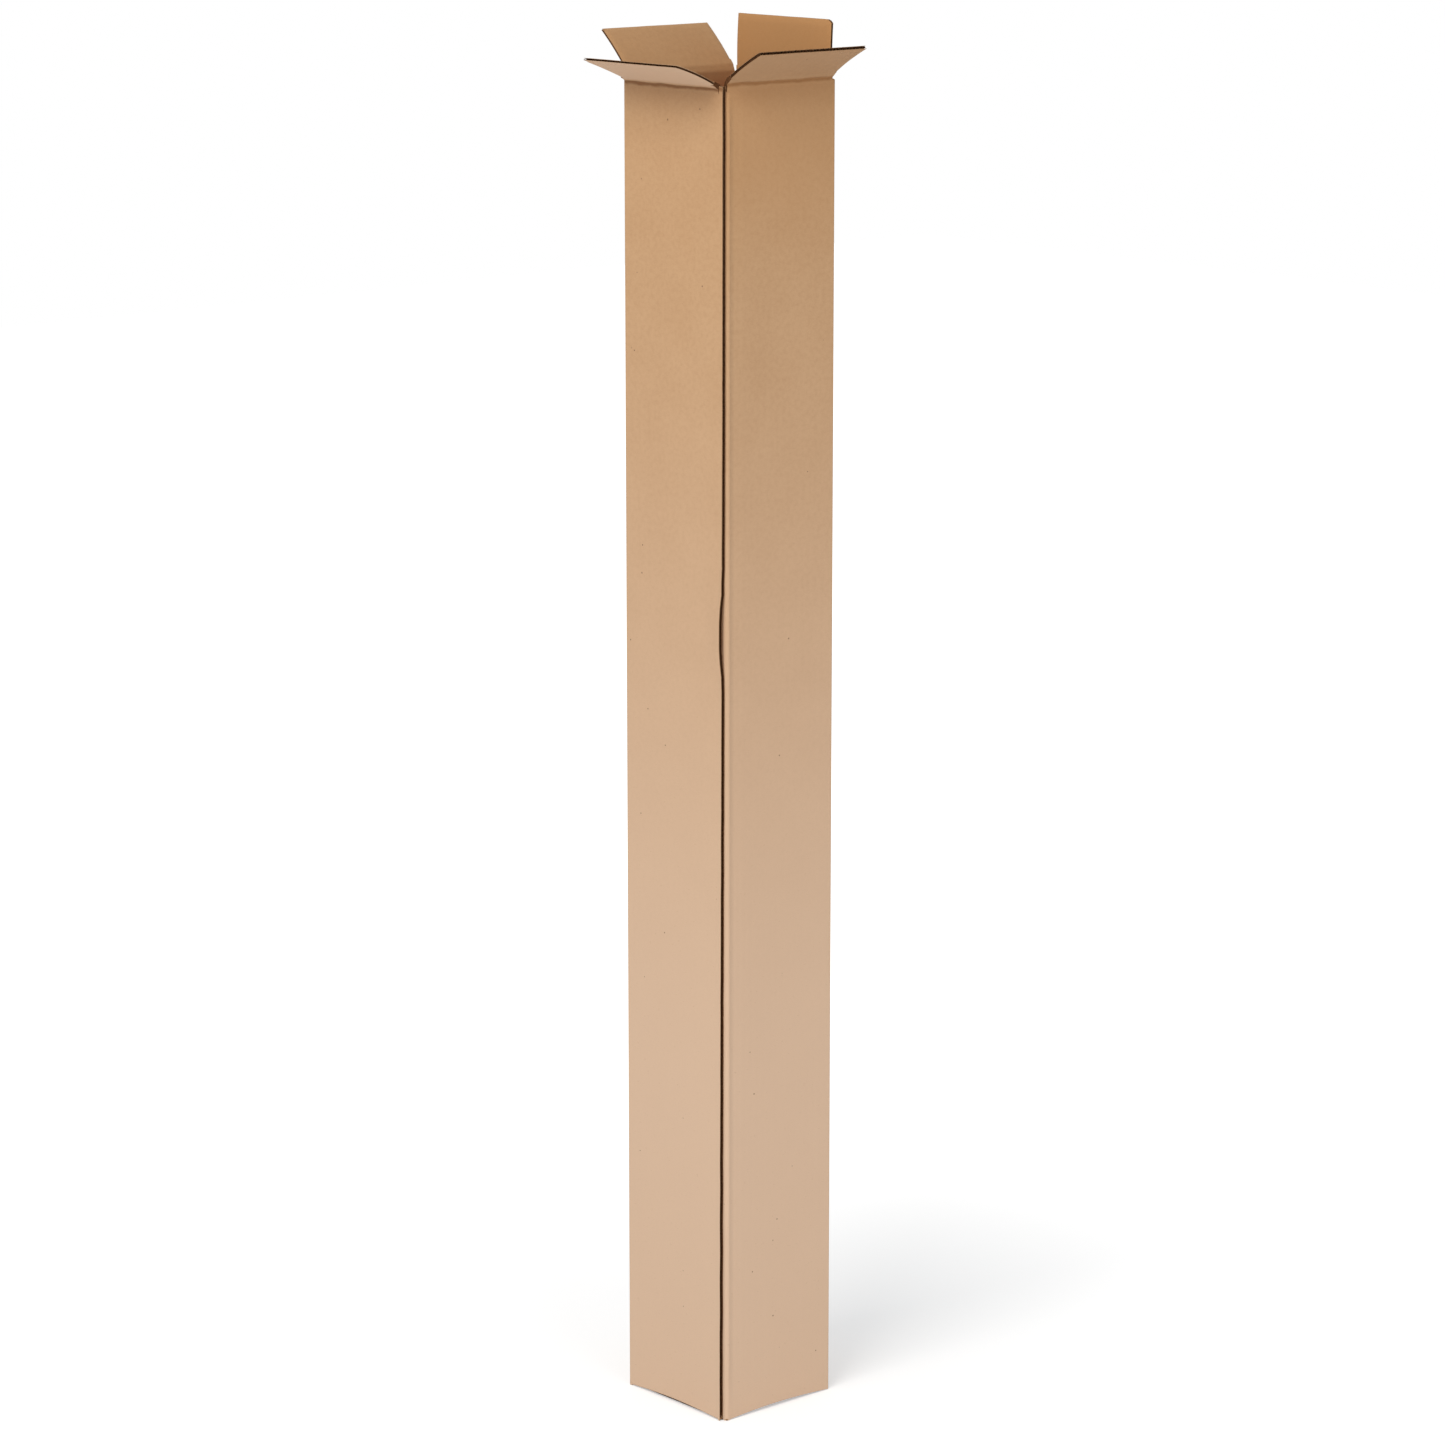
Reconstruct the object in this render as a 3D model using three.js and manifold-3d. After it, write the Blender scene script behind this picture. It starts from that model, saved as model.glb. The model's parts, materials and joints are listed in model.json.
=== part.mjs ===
// A tall square corrugated shipping carton, standing upright with its four top flaps open.
// Millimetres, +Z up. The front panel faces -Y and its glued corner is at +X, -Y.
// The carton is one folded sheet: each flap is a solid of its own only because it turns at its score.

import * as THREE from 'three';
import { mergeVertices } from 'three/addons/utils/BufferGeometryUtils.js';
import Module from 'manifold-3d';

// Inside sizes that the carton is sold by
const insideWidth = 127; // along X
const insideDepth = 127; // along Y
const insideHeight = 1219; // between the closed inner flaps

// Corrugated board
const boardThickness = 4;
const linerThickness = 0.5;
const mediumThickness = 0.4;
const flutePitch = 7.8;
const crushedBand = 4; // flat strip beside a score, where the flutes are pressed shut

// Flaps
const topFlapLength = 54;
const slotClearance = 1; // from the side of a flap to the panel beside it
const layerGap = 0.3; // between the inner and the outer pair when both are closed
const bottomSeam = 0.6; // between two bottom flaps that meet
const frontElevation = 21; // degrees above level, leaning outward, as the carton stands
const backElevation = 88;
const leftElevation = 50;
const rightElevation = 35;

// Scores that the flaps turn on
const hingeOffset = 0.08; // from the outer face of a panel out to its fold axis
const scoreGap = 0.2; // from the fold axis to the cut of panel or flap at the outer face

// Upright folds and the glued corner
const foldRadius = 3;
const innerFillet = 1.2;
const rawEdgeSetback = 0.6; // the front panel's cut edge, in from the face of the right panel
const glueTabWidth = 36;
const glueTabTaper = 14; // how much shorter the tab's free edge is at each end
const glueGap = 0.3;
const glueMargin = 5; // bare strip round the glue, on the tab
const glueTabClearance = 0.8; // above and below the tab, to the flaps that fold past it
const hollowDepth = 3; // how far a cut edge that runs along the flutes lies open

// Worked out from the sizes above
const outerWidth = insideWidth + 2 * boardThickness;
const outerDepth = insideDepth + 2 * boardThickness;
const outerHeight = insideHeight + 4 * boardThickness + 2 * layerGap;
const halfWidth = outerWidth / 2;
const halfDepth = outerDepth / 2;
const slotInset = boardThickness + slotClearance;
const innerTop = outerHeight - boardThickness - layerGap; // top face of the closed inner flaps
const innerBottom = boardThickness + layerGap; // lower face of the closed inner bottom flaps
const cornerTop = innerTop - scoreGap;
const frontFlapWidth = outerWidth - 2 * slotInset;
const sideFlapWidth = outerDepth - 2 * slotInset;
const bottomFlapLength = halfWidth + hingeOffset - bottomSeam / 2;
const overcut = 2; // how far a cutting solid runs past what it cuts

const wasm = await Module();
wasm.setup();

// A closed three.js geometry as a solid that can be joined and cut
function solidOf(geometry) {
  const bare = geometry.clone();
  bare.deleteAttribute('normal');
  bare.deleteAttribute('uv');
  const merged = mergeVertices(bare);
  return new wasm.Manifold(new wasm.Mesh({
    numProp: 3,
    vertProperties: merged.attributes.position.array,
    triVerts: merged.index.array,
  }));
}

function geometryOf(solid) {
  const made = solid.getMesh();
  const geometry = new THREE.BufferGeometry();
  geometry.setAttribute('position', new THREE.BufferAttribute(made.vertProperties, 3));
  geometry.setIndex(new THREE.BufferAttribute(made.triVerts, 1));
  geometry.computeVertexNormals();
  return geometry;
}

// Straight-sided outline from a list of [x, y] corners
function outline(corners) {
  return new THREE.Shape(corners.map(([x, y]) => new THREE.Vector2(x, y)));
}

// Extrudes outlines drawn in X and Y upward, from one level to another
function upright(shapes, fromZ, toZ) {
  const geometry = new THREE.ExtrudeGeometry(shapes, {
    depth: toZ - fromZ,
    bevelEnabled: false,
    curveSegments: 4,
  });
  return geometry.translate(0, 0, fromZ);
}

// Extrudes an outline drawn in Y and Z along X, centred on X = 0
function alongX(shape, length) {
  const geometry = upright(shape, -length / 2, length / 2);
  return geometry.applyMatrix4(new THREE.Matrix4().makeBasis(
    new THREE.Vector3(0, 1, 0),
    new THREE.Vector3(0, 0, 1),
    new THREE.Vector3(1, 0, 0),
  ));
}

// Extrudes an outline drawn in X and Z along Y, between two values of Y
function alongY(shape, fromY, toY) {
  const geometry = upright(shape, -toY, -fromY);
  return geometry.rotateX(Math.PI / 2);
}

function box(low, high) {
  const size = high.map((value, axis) => value - low[axis]);
  const geometry = new THREE.BoxGeometry(...size);
  return geometry.translate(...low.map((value, axis) => value + size[axis] / 2));
}

// The four sides in order: turn about Z that points the local +Y inward, and half the span across
const sides = {
  front: { turn: 0, reach: halfDepth, flapWidth: frontFlapWidth },
  right: { turn: Math.PI / 2, reach: halfWidth, flapWidth: sideFlapWidth },
  back: { turn: Math.PI, reach: halfDepth, flapWidth: frontFlapWidth },
  left: { turn: -Math.PI / 2, reach: halfWidth, flapWidth: sideFlapWidth },
};

// The sheet seen from above: from the cut edge of the front panel, round three folds, and at the
// last corner round into the glue tab behind the front panel
function sheetPlan() {
  const rawEdge = halfWidth - rawEdgeSetback;
  const tabFace = -halfDepth + boardThickness + glueGap;
  const tabInside = tabFace + boardThickness;
  const tabEdge = halfWidth - boardThickness - glueTabWidth;
  const insideX = halfWidth - boardThickness;
  const insideY = halfDepth - boardThickness;
  const shape = new THREE.Shape();
  shape.moveTo(rawEdge, -halfDepth);
  shape.lineTo(-halfWidth + foldRadius, -halfDepth);
  shape.absarc(-halfWidth + foldRadius, -halfDepth + foldRadius, foldRadius, -Math.PI / 2, -Math.PI, true);
  shape.absarc(-halfWidth + foldRadius, halfDepth - foldRadius, foldRadius, Math.PI, Math.PI / 2, true);
  shape.absarc(halfWidth - foldRadius, halfDepth - foldRadius, foldRadius, Math.PI / 2, 0, true);
  shape.absarc(insideX, tabInside, boardThickness, 0, -Math.PI / 2, true);
  shape.lineTo(tabEdge, tabFace);
  shape.lineTo(tabEdge, tabFace + linerThickness);
  shape.lineTo(tabEdge + hollowDepth, tabFace + linerThickness);
  shape.lineTo(tabEdge + hollowDepth, tabInside - linerThickness);
  shape.lineTo(tabEdge, tabInside - linerThickness);
  shape.lineTo(tabEdge, tabInside);
  shape.lineTo(insideX, tabInside);
  shape.absarc(insideX - innerFillet, insideY - innerFillet, innerFillet, 0, Math.PI / 2, false);
  shape.absarc(-insideX + innerFillet, insideY - innerFillet, innerFillet, Math.PI / 2, Math.PI, false);
  shape.absarc(-insideX + innerFillet, -insideY + innerFillet, innerFillet, Math.PI, Math.PI * 1.5, false);
  shape.lineTo(rawEdge, -insideY);
  shape.lineTo(rawEdge, -insideY - linerThickness);
  shape.lineTo(rawEdge - hollowDepth, -insideY - linerThickness);
  shape.lineTo(rawEdge - hollowDepth, -halfDepth + linerThickness);
  shape.lineTo(rawEdge, -halfDepth + linerThickness);
  shape.closePath();
  return shape;
}

// Puts a solid made for the front side, with its fold axis at Y = 0 and Z = 0, on any side
function placed(geometry, side, axisZ, upsideDown = false) {
  const turned = geometry.clone();
  if (upsideDown) turned.rotateY(Math.PI);
  turned.translate(0, -side.reach - hingeOffset, axisZ);
  return turned.rotateZ(side.turn);
}

// What a score takes off the end of a panel: all above a slope that runs down towards the inside
function scoreCut(side, axisZ, upsideDown) {
  const outside = hingeOffset - overcut;
  const inside = hingeOffset + boardThickness + overcut;
  const slope = hingeOffset - scoreGap;
  const clear = 3 * boardThickness;
  const profile = outline([
    [outside, slope - outside],
    [inside, slope - inside],
    [inside, clear],
    [outside, clear],
  ]);
  return solidOf(placed(alongX(profile, side.flapWidth), side, axisZ, upsideDown));
}

// One of the inner bottom flaps, folded in for good under the outer pair's shelter
function innerBottomFlap(side) {
  const fold = new THREE.Shape();
  const rise = foldRadius + boardThickness;
  fold.moveTo(hingeOffset, rise);
  fold.absarc(hingeOffset + foldRadius, foldRadius, foldRadius, Math.PI, Math.PI * 1.5, false);
  fold.lineTo(hingeOffset + side.reach - bottomSeam / 2, 0);
  fold.lineTo(hingeOffset + side.reach - bottomSeam / 2, boardThickness);
  fold.lineTo(hingeOffset + boardThickness, boardThickness);
  fold.lineTo(hingeOffset + boardThickness, rise);
  fold.closePath();
  return solidOf(placed(alongX(fold, side.flapWidth), side, innerBottom));
}

// Trims one end of the glue tab along a slant, so that the flap beside it can fold past
function tabTrim(rootZ, slant, farZ) {
  const root = halfWidth - boardThickness;
  const edge = root - glueTabWidth - overcut;
  const edgeZ = rootZ + slant * (glueTabWidth + overcut) / glueTabWidth;
  const profile = outline([[edge, edgeZ], [root, rootZ], [root, farZ], [edge, farZ]]);
  const face = -halfDepth + boardThickness + glueGap / 2;
  return solidOf(alongY(profile, face, face + boardThickness + glueGap));
}

// The film of glue that holds the tab to the front panel
function glueFilm(lowZ, highZ) {
  const face = -halfDepth + boardThickness;
  const root = halfWidth - boardThickness - glueMargin;
  const edge = halfWidth - boardThickness - glueTabWidth + glueMargin;
  const bite = linerThickness / 2;
  return solidOf(box([edge, face - bite, lowZ], [root, face + glueGap + bite, highZ]));
}

function cartonBody() {
  let body = solidOf(upright(sheetPlan(), 0, outerHeight));
  for (const [x, y] of [[-1, -1], [1, -1], [1, 1], [-1, 1]]) {
    const near = [x * (halfWidth - slotInset), y * (halfDepth - slotInset)];
    const far = [x * (halfWidth + overcut), y * (halfDepth + overcut)];
    const low = [Math.min(near[0], far[0]), Math.min(near[1], far[1]), cornerTop];
    const high = [Math.max(near[0], far[0]), Math.max(near[1], far[1]), outerHeight + overcut];
    body = body.subtract(solidOf(box(low, high)));
  }
  for (const name of ['front', 'back']) {
    const side = sides[name];
    body = body.subtract(scoreCut(side, innerTop + hingeOffset, false));
    const above = innerBottom + foldRadius + boardThickness / 2;
    const open = outline([
      [-overcut, -overcut],
      [hingeOffset + boardThickness + overcut, -overcut],
      [hingeOffset + boardThickness + overcut, above],
      [-overcut, above],
    ]);
    body = body.subtract(solidOf(placed(alongX(open, side.flapWidth), side, 0)));
    body = body.add(innerBottomFlap(side));
  }
  for (const name of ['left', 'right']) {
    body = body.subtract(scoreCut(sides[name], outerHeight + hingeOffset, false));
    body = body.subtract(scoreCut(sides[name], -hingeOffset, true));
  }
  const tabTop = innerTop - boardThickness - glueTabClearance;
  const tabBottom = innerBottom + boardThickness + glueTabClearance;
  body = body.subtract(tabTrim(tabTop, -glueTabTaper, outerHeight + overcut));
  body = body.subtract(tabTrim(tabBottom, glueTabTaper, -overcut));
  return body.add(glueFilm(tabBottom + 2 * glueTabTaper, tabTop - 2 * glueTabTaper));
}

// Section of one flute's hollow, from the liner it stands on to the wave of the medium above it.
// The wave is a cosine; towards is +1 from the outer liner and -1 from the inner one.
function fluteHollow(centre, pitch, towards) {
  const amplitude = (boardThickness - 2 * linerThickness - mediumThickness) / 2;
  const middle = hingeOffset + boardThickness / 2;
  const foot = boardThickness / 2 - linerThickness;
  const footReach = 0.43 * pitch;
  const corners = [[centre - footReach, middle - towards * foot]];
  for (const share of [-0.27, -0.1, 0.1, 0.27]) {
    const wave = amplitude * Math.cos(2 * Math.PI * share) - mediumThickness / 2;
    corners.push([centre + share * pitch, middle + towards * wave]);
  }
  corners.push([centre + footReach, middle - towards * foot]);
  return outline(corners);
}

// A flap standing straight up on its fold axis, with its flutes open at the far edge and a cut
// flute lying open along both sides
function flapSolid(width, length) {
  const profile = outline([
    [hingeOffset, scoreGap],
    [hingeOffset + boardThickness, scoreGap + boardThickness],
    [hingeOffset + boardThickness, length],
    [hingeOffset, length],
  ]);
  const flutes = Math.max(1, Math.round(width / flutePitch));
  const pitch = width / flutes;
  const hollows = [];
  for (let flute = 0; flute <= flutes; flute += 1) {
    hollows.push(fluteHollow(flute * pitch - width / 2, pitch, 1));
    if (flute < flutes) hollows.push(fluteHollow((flute + 0.5) * pitch - width / 2, pitch, -1));
  }
  const root = scoreGap + boardThickness + crushedBand;
  return solidOf(alongX(profile, width)).subtract(solidOf(upright(hollows, root, length + overcut)));
}

const kraft = new THREE.Color(0.6, 0.42, 0.27);

function boardMaterial(shade) {
  return new THREE.MeshStandardMaterial({
    color: kraft.clone().multiplyScalar(shade),
    roughness: 0.85,
    metalness: 0,
  });
}

const carton = new THREE.Group();

function addMesh(name, solid, shade) {
  const mesh = new THREE.Mesh(geometryOf(solid), boardMaterial(shade));
  mesh.name = name;
  return mesh;
}

// A flap on its own pivot: elevation is its angle above level on the outward side
function addFlap(name, side, length, axisZ, elevation, upsideDown, shade) {
  const pivot = new THREE.Group();
  pivot.rotation.z = side.turn;
  const hinge = new THREE.Group();
  hinge.position.set(0, -side.reach - hingeOffset, axisZ);
  if (upsideDown) hinge.rotation.y = Math.PI;
  const flap = addMesh(name, flapSolid(side.flapWidth, length), shade);
  flap.rotation.x = THREE.MathUtils.degToRad(90 - elevation);
  hinge.add(flap);
  pivot.add(hinge);
  carton.add(pivot);
}

carton.add(addMesh('carton_body', cartonBody(), 1));

const innerAxis = innerTop + hingeOffset;
const outerAxis = outerHeight + hingeOffset;
addFlap('top_flap_front', sides.front, topFlapLength, innerAxis, frontElevation, false, 0.98);
addFlap('top_flap_back', sides.back, topFlapLength, innerAxis, backElevation, false, 0.94);
addFlap('top_flap_left', sides.left, topFlapLength, outerAxis, leftElevation, false, 0.96);
addFlap('top_flap_right', sides.right, topFlapLength, outerAxis, rightElevation, false, 0.92);
const closed = 180;
addFlap('bottom_flap_left', sides.left, bottomFlapLength, -hingeOffset, closed, true, 0.9);
addFlap('bottom_flap_right', sides.right, bottomFlapLength, -hingeOffset, closed, true, 0.88);

// The origin is at floor level, in the middle of the plan of the carton with its flaps as they are
carton.updateMatrixWorld(true);
const extent = new THREE.Box3().setFromObject(carton, true);
const middle = extent.getCenter(new THREE.Vector3());
carton.position.set(-middle.x, -middle.y, -extent.min.z);

export default carton;
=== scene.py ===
import json
import math

import bmesh
import bpy
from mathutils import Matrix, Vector, noise


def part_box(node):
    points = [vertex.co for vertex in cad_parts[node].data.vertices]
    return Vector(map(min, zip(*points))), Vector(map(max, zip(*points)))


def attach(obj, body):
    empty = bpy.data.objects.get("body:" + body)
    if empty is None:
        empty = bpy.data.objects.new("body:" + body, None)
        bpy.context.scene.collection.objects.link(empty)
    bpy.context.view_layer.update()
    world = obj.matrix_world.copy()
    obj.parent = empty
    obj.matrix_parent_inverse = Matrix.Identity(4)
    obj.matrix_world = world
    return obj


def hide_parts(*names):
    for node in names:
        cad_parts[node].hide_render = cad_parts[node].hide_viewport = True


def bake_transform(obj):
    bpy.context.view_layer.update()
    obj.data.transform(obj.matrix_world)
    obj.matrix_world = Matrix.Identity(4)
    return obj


# A tall kraft carton that stands with its top flaps open. All lengths are in metres.

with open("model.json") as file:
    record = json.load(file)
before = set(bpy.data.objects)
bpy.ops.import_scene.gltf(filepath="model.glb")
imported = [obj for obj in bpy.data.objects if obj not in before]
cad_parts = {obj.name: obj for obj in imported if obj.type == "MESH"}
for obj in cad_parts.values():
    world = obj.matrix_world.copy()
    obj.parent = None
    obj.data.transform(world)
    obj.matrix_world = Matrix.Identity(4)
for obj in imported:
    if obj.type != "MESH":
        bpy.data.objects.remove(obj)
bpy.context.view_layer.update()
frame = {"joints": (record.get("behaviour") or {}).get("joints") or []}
mm = 0.001

bodyLow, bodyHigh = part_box("carton_body")
centre = (bodyLow + bodyHigh) / 2  # the middle of the square tube
halfWidth = (bodyHigh.x - bodyLow.x) / 2
halfDepth = (bodyHigh.y - bodyLow.y) / 2
joints = {joint["name"]: joint for joint in frame["joints"]}
outerAxis = joints["right_flap_fold"]["pos_m"][2]  # height of the scores of the left and right flaps
innerAxis = joints["front_flap_fold"]["pos_m"][2]
hingeOffset = abs(joints["right_flap_fold"]["pos_m"][0] - centre.x) - halfWidth
seedStep = 7.31  # keeps the patterns of two seeds apart

board = {
    "thickness": 4 * mm,
    "liner": 0.42 * mm,
    "medium": 0.32 * mm,
    "pitch": 7.8 * mm,
    "slotInset": 5 * mm,  # from an upright fold to the side of a flap
    "foldRadius": 3 * mm,
    "bottomRadius": 1.6 * mm,
    "innerFillet": 1.5 * mm,
}


def smooth(value, low, high):
    share = min(1, max(0, (value - low) / (high - low)))
    return share * share * (3 - 2 * share)


def drift(seed, u, v, size):  # smooth random value from -1 to 1 that changes over about size metres
    return noise.noise(Vector((u / size, v / size, seed * seedStep)))


# Materials

class Wire:  # one output socket; arithmetic on wires adds Math nodes
    def __init__(self, shader, socket):
        self.shader = shader
        self.socket = socket

    def math(self, operation, *others):
        return self.shader.add("ShaderNodeMath", {"operation": operation}, [self, *others])

    def __add__(self, other):
        return self.math("ADD", other)

    def __radd__(self, other):
        return self.math("ADD", other)

    def __sub__(self, other):
        return self.math("SUBTRACT", other)

    def __rsub__(self, other):
        return self.shader.add("ShaderNodeMath", {"operation": "SUBTRACT"}, [other, self])

    def __mul__(self, other):
        return self.math("MULTIPLY", other)

    def __rmul__(self, other):
        return self.math("MULTIPLY", other)

    def ramp(self, low, high):  # 0 below low, 1 above high
        values = {"Value": self, "From Min": low, "From Max": high}
        return self.shader.add("ShaderNodeMapRange", {"interpolation_type": "SMOOTHSTEP"}, values)

    def past(self, place, blur):  # 0 before a place, 1 behind it
        return self.ramp(place - blur, place + blur)


class Shader:  # the nodes of a material or of the world
    def __init__(self, owner):
        self.owner = owner
        owner.use_nodes = True
        self.tree = owner.node_tree
        self.tree.nodes.clear()

    def add(self, kind, settings=None, values=None, output=0):
        node = self.tree.nodes.new(kind)
        for key, value in (settings or {}).items():
            setattr(node, key, value)
        entries = values.items() if isinstance(values, dict) else enumerate(values or [])
        for key, value in entries:
            if isinstance(value, Wire):
                self.tree.links.new(value.socket, node.inputs[key])
            else:
                node.inputs[key].default_value = value
        return Wire(self, node.outputs[output]) if node.outputs else None

    def blend(self, kind, share, first, second):  # mixes two colours
        settings = {"data_type": "RGBA", "blend_type": kind}
        first = first if isinstance(first, Wire) else (*first, 1)
        second = second if isinstance(second, Wire) else (*second, 1)
        return self.add("ShaderNodeMix", settings, {0: share, 6: first, 7: second}, output=2)

    def noise(self, place, scale, detail, roughness):
        values = {"Vector": place, "Scale": scale, "Detail": detail, "Roughness": roughness}
        return self.add("ShaderNodeTexNoise", {"noise_dimensions": "3D"}, values)

    def vector(self, operation, values, output=0):
        return self.add("ShaderNodeVectorMath", {"operation": operation}, values, output)

    def finish(self, kind, surface):
        self.add(kind, {}, {"Surface": surface})
        return self.owner


kraft = {
    "pale": (0.618, 0.394, 0.223),
    "deep": (0.480, 0.281, 0.142),
    # painted light: the pale tone that brightens the lower walls and the front flap's outer face
    "bottomPale": (0.725, 0.535, 0.395),
    # painted shade: the darker, warmer tone over the top of the walls
    "warm": (0.470, 0.235, 0.085),
    # the colour of fibre streaks, also used as painted shade on the right flap's outer face
    "fibre": (0.330, 0.185, 0.090),
    "speck": (0.100, 0.052, 0.026),
    # painted shadow along the scores and under the open flaps
    "crease": (0.200, 0.085, 0.030),
    # painted shade on the glue tab where it shows through the glued corner
    "glueShade": (0.130, 0.055, 0.022),
    "inside": (0.440, 0.245, 0.112),
    "insidePale": (0.550, 0.325, 0.162),
    # painted shade on the inner walls
    "insideDeep": (0.340, 0.095, 0.028),
    # painted shade: the redder tone of the back panel's inside
    "insideBack": (0.500, 0.250, 0.088),
    # painted shade: the near-black flute medium stands for the shade in the hollows between the liners
    "mediumDark": (0.050, 0.018, 0.006),
    "mediumPale": (0.150, 0.068, 0.030),
    "cut": (0.400, 0.245, 0.135),
}
patterns = {  # scale per metre, detail and roughness of each noise
    "cloud": (17, 3, 0.5),
    "pulp": (210, 4, 0.65),
    "threads": (1, 3, 0.6),
    "grain": (1500, 2, 0.7),
    "ragged": (60, 2, 0.5),
    "patches": (31, 1, 0.5),
}
linerLook = {
    "threadStretch": (260, 1500, 1),
    "cloudShare": 0.2,
    "pulpShare": 0.4,
    "threadShare": 0.25,
    "shadeLift": 0.02,
    "shadeRange": (0.2, 0.75),
    "fibreRange": (0.33, 0.42),
    "fibreShare": 0.22,
    "fleckScale": 95,
    "fleckRange": (0.05, 0.09),
    "patchRange": (0.62, 0.66),
    "fleckShare": 0.75,
    "grainShare": 0.5,
    "grainDark": (0.82, 0.82, 0.82),
    "grainPale": (1.12, 1.12, 1.12),
    "ridgeHeight": 0.35,  # the flutes show through the paper
    "pulpHeight": 0.5,
    "grainHeight": 0.35,
    "bump": 0.16,
    "bumpDistance": 0.4 * mm,
    "roughness": 0.82,
    "roughnessSpread": 0.16,
    "specular": 0.28,
    "sheen": 0.05,
}
sheetFolds = {  # metres across the sheet from the glued corner, and how soft a change of colour is there
    "frontToLeft": (0.132, 0.5 * mm),
    "leftToBack": (0.265, 1 * mm),
    "backToRight": (0.400, 1 * mm),
}
tabStart = 0.535  # sheet place of the fold into the glue tab
# painted light and shade, and the real specks
paintedLightAndSpecks = {  # ranges are heights on the sheet, most of them over the score of a top flap
    # painted light: the walls turn paler towards the floor over this range of heights
    "paleRange": (0.25, 1.15),
    "paleShare": 0.78,
    "ragged": 5 * mm,
    # painted shadow: a ragged dark line along each score
    "lineFrom": (-4 * mm, -1 * mm),
    "lineTo": (0.2 * mm, 2.6 * mm),
    "lineShare": 0.62,
    # painted shadow of the open flap over the top of its panel
    "shadeFrom": (-34 * mm, -1 * mm),
    # painted shade over the top of the walls, stronger on the left and right panels
    "warmFrom": (-200 * mm, -30 * mm),
    "flapFoot": (0, 4 * mm),
    "shadeShare": 0.27,
    "warmSides": 0.32,
    "warmAll": 0.08,
    # painted shade on the glue tab, past its fold
    "behindTab": (0.6 * mm, 2 * mm),
    "behindShare": 0.85,
    "rightPanel": (-140 * mm, -130 * mm),
    # painted shade on the right flap's outer face, its underside while it stands open
    "underRightFrom": (-2 * mm, 5 * mm),
    "underRightShare": 0.48,
    # painted light on the front flap's outer face, its underside while it stands open
    "underFrontFrom": (1 * mm, 8 * mm),
    "underFrontShare": 0.6,
    "speckCore": 0.4,
    "speckShare": 0.7,
    # painted shade on the inside of the back panel
    "backShare": 0.6,
    # painted shade inside the tube, from a little above the floor to just below the scores
    "deepTo": (-26 * mm, 7 * mm),
    "deepFrom": (0, 60 * mm),
    "deepShare": 0.85,
}
specks = (  # dark flecks on the front panel: metres from the glued corner, metres up, size
    (0.0275, 1.212, 1.1 * mm),
    (0.071, 1.200, 1.2 * mm),
    (0.107, 1.145, 0.8 * mm),
)


def shifted(limits, shift):
    return limits[0] + shift, limits[1] + shift


# painted light and shade on the outer face, and its real dark specks
def outerPaintedLightAndSpecks(shader, colour, place, across, along):
    # painted light: the outer face turns paler towards the floor
    lower = (1 - along.ramp(*paintedLightAndSpecks["paleRange"])) * paintedLightAndSpecks["paleShare"]
    colour = shader.blend("MIX", lower, colour, kraft["bottomPale"])
    pastFront = across.past(*sheetFolds["frontToLeft"])
    pastLeft = across.past(*sheetFolds["leftToBack"])
    outerSide = pastFront * (1 - pastLeft) + across.past(*sheetFolds["backToRight"])
    score = along - outerSide * (outerAxis - innerAxis) - innerAxis  # height over the score of a top flap
    ragged = score + (shader.noise(place, *patterns["ragged"]) - 0.5) * paintedLightAndSpecks["ragged"]
    # painted shadow: a ragged dark line at each score and a softer band under the open flap
    scoreShadow = ragged.ramp(*paintedLightAndSpecks["lineFrom"]) * (1 - ragged.ramp(*paintedLightAndSpecks["lineTo"]))
    flapFoot = 1 - score.ramp(*paintedLightAndSpecks["flapFoot"])
    shade = score.ramp(*paintedLightAndSpecks["shadeFrom"]) * flapFoot
    paintedCreaseShadow = scoreShadow * paintedLightAndSpecks["lineShare"] + shade * paintedLightAndSpecks["shadeShare"]
    colour = shader.blend("MIX", paintedCreaseShadow, colour, kraft["crease"])
    # painted shade: the top of the walls darker and warmer, most on the left and right panels
    topShadeShare = outerSide * paintedLightAndSpecks["warmSides"] + paintedLightAndSpecks["warmAll"]
    warm = score.ramp(*paintedLightAndSpecks["warmFrom"]) * flapFoot * topShadeShare
    colour = shader.blend("MIX", warm, colour, kraft["warm"])
    # painted shade: the glue tab is darkened where the glued corner gapes
    behind = across.ramp(*shifted(paintedLightAndSpecks["behindTab"], tabStart)) * paintedLightAndSpecks["behindShare"]
    colour = shader.blend("MIX", behind, colour, kraft["glueShade"])
    # painted shade: the right flap's outer face, its underside while open, is darkened with the fibre colour
    rightPanel = across.ramp(*shifted(paintedLightAndSpecks["rightPanel"], tabStart))
    paintedShadeOnRightFlap = rightPanel * along.ramp(*shifted(paintedLightAndSpecks["underRightFrom"], outerAxis))
    colour = shader.blend("MIX", paintedShadeOnRightFlap * paintedLightAndSpecks["underRightShare"], colour, kraft["fibre"])
    # painted light: the front flap's outer face, its underside while open, is made paler
    paintedLightOnFrontFlap = (1 - pastFront) * score.ramp(*paintedLightAndSpecks["underFrontFrom"])
    colour = shader.blend("MIX", paintedLightOnFrontFlap * paintedLightAndSpecks["underFrontShare"], colour, kraft["bottomPale"])
    for u, z, size in specks:
        away = shader.vector("DISTANCE", [place, (u, z, 0)], output=1)
        share = (1 - away.ramp(size * paintedLightAndSpecks["speckCore"], size)) * paintedLightAndSpecks["speckShare"]
        colour = shader.blend("MIX", share, colour, kraft["speck"])
    return colour


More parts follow.
